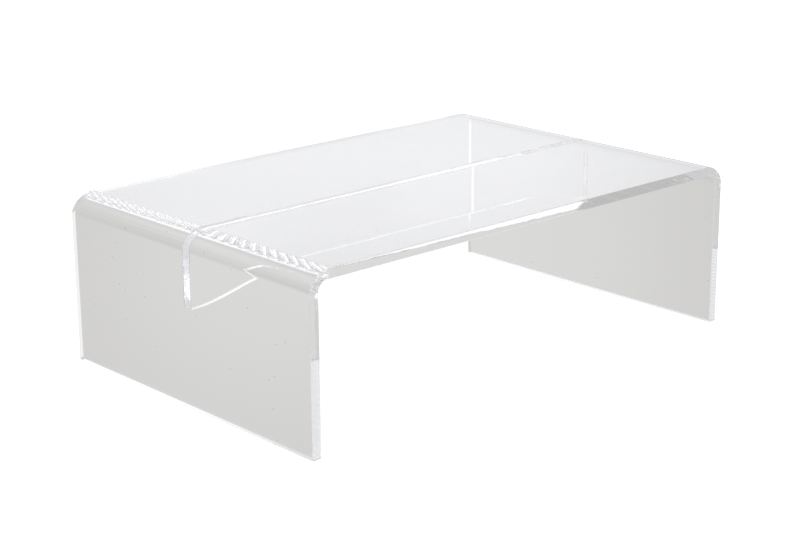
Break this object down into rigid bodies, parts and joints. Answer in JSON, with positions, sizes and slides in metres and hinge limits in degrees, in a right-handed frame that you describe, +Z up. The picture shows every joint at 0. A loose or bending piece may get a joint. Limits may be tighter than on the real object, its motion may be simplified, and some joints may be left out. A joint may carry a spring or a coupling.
{
  "type": "monitor riser stand",
  "caption": "Low clear plastic riser stand for a monitor: a sheet bent into a deck with two full-depth legs, and a rib glued under the deck.",
  "frame": {"origin": "on the standing surface, under the middle of the riser's box", "axes": "+X along the width from leg to leg, +Y from the front edge to the back edge, +Z up"},
  "size_m": [0.44, 0.286, 0.135],
  "materials": {
    "clear_acrylic_sheet": "polished",
    "clear_acrylic_rib": "polished",
    "acrylic_cement": "gloss"
  },
  "bodies": {
    "root": {"riser_sheet": "clear_acrylic_sheet", "stiffening_rib": "clear_acrylic_rib", "cement_seam_deck": "acrylic_cement", "cement_seam_left": "acrylic_cement", "cement_seam_right": "acrylic_cement"}
  },
  "joints": []
}
